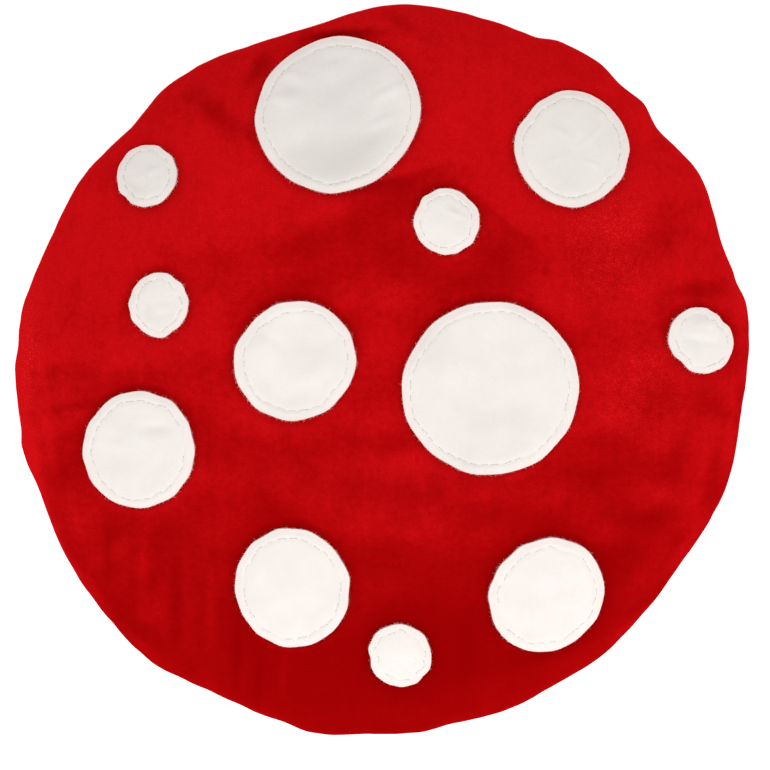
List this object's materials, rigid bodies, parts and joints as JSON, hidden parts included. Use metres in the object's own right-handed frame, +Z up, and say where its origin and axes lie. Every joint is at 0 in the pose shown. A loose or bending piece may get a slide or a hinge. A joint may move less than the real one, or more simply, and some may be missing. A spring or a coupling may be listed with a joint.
{
  "type": "mushroom hat",
  "caption": "Wide, low round hat of soft red velour with white felt spots stitched on top, a sunken middle, a gathered rolled rim and a plain head band under it.",
  "frame": {"origin": "middle of the hat's box seen from above, at the height of the surface that it lies on", "axes": "+Z up out of the crown; +Y towards the back of the hat, the upper edge of the view from above; +X to the right"},
  "size_m": [0.4002, 0.3988, 0.0561],
  "materials": {
    "red_velour": "short brushed pile, patchy sheen",
    "white_felt": "matt soft felt with fuzzy cut edges"
  },
  "bodies": {
    "root": {"cap_top": "red_velour", "cap_under": "red_velour", "head_band": "red_velour", "spot_large_back": "white_felt", "spot_large_middle": "white_felt", "spot_medium_back": "white_felt", "spot_medium_middle": "white_felt", "spot_medium_left": "white_felt", "spot_medium_front_left": "white_felt", "spot_medium_front_right": "white_felt", "spot_small_back_left": "white_felt", "spot_small_back": "white_felt", "spot_small_left": "white_felt", "spot_small_right": "white_felt", "spot_small_front": "white_felt"}
  },
  "joints": []
}
